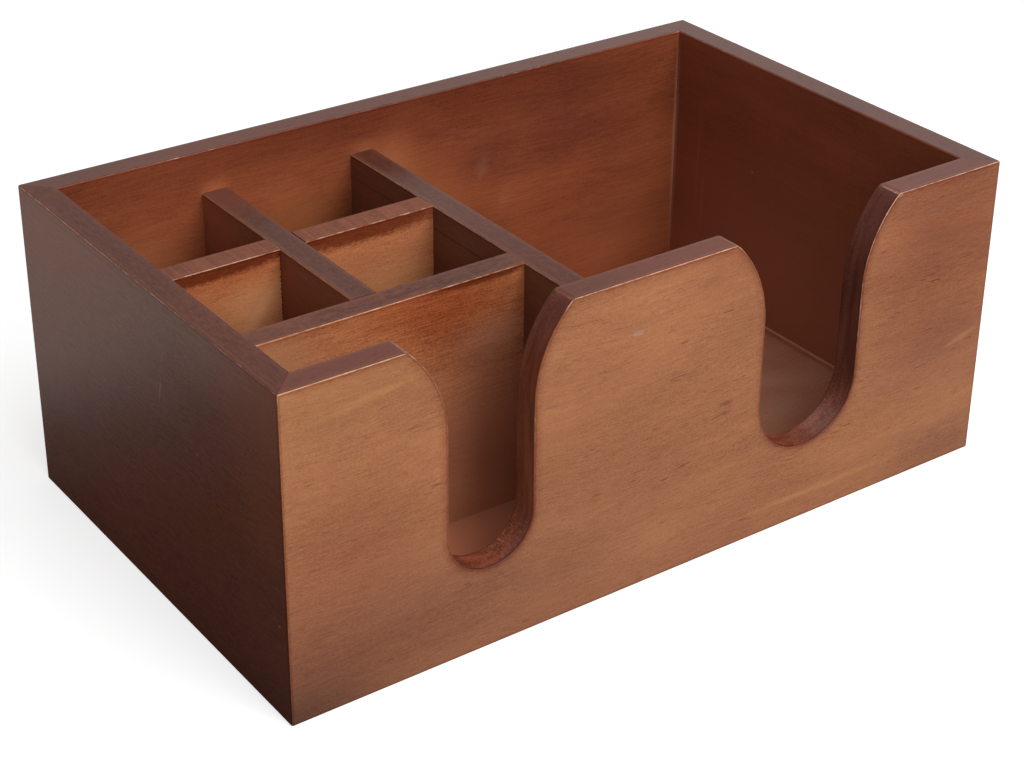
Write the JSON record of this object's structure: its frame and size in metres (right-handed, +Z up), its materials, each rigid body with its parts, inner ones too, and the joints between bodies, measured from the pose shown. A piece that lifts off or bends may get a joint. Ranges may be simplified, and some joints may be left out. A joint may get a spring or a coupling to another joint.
{
  "type": "condiment caddy",
  "caption": "Open-topped stained wood caddy with a slotted front board, a napkin bay and divided cells for condiments, straws or sachets.",
  "frame": {"origin": "centre of the base, on the surface that the caddy stands on", "axes": "+X to the right as seen from the slotted front, +Y from front to back, +Z up"},
  "size_m": [0.254, 0.1524, 0.1016],
  "materials": {
    "outer_wood": "satin, walnut-brown stain, worn pale along the arrises",
    "divider_wood": "satin, red-brown stain",
    "floor_wood": "satin, brown stain",
    "brad_steel": "bright wire",
    "filler": "matt wood filler"
  },
  "bodies": {
    "root": {"front_panel": "outer_wood", "back_panel": "outer_wood", "left_end_panel": "outer_wood", "right_end_panel": "outer_wood", "bottom_panel": "floor_wood", "long_divider": "divider_wood", "short_divider": "divider_wood", "front_cross_divider": "divider_wood", "rear_cross_divider": "divider_wood", "front_brad": "brad_steel", "rear_brad": "brad_steel", "front_brad_filler": "filler", "rear_brad_filler": "filler"}
  },
  "joints": []
}
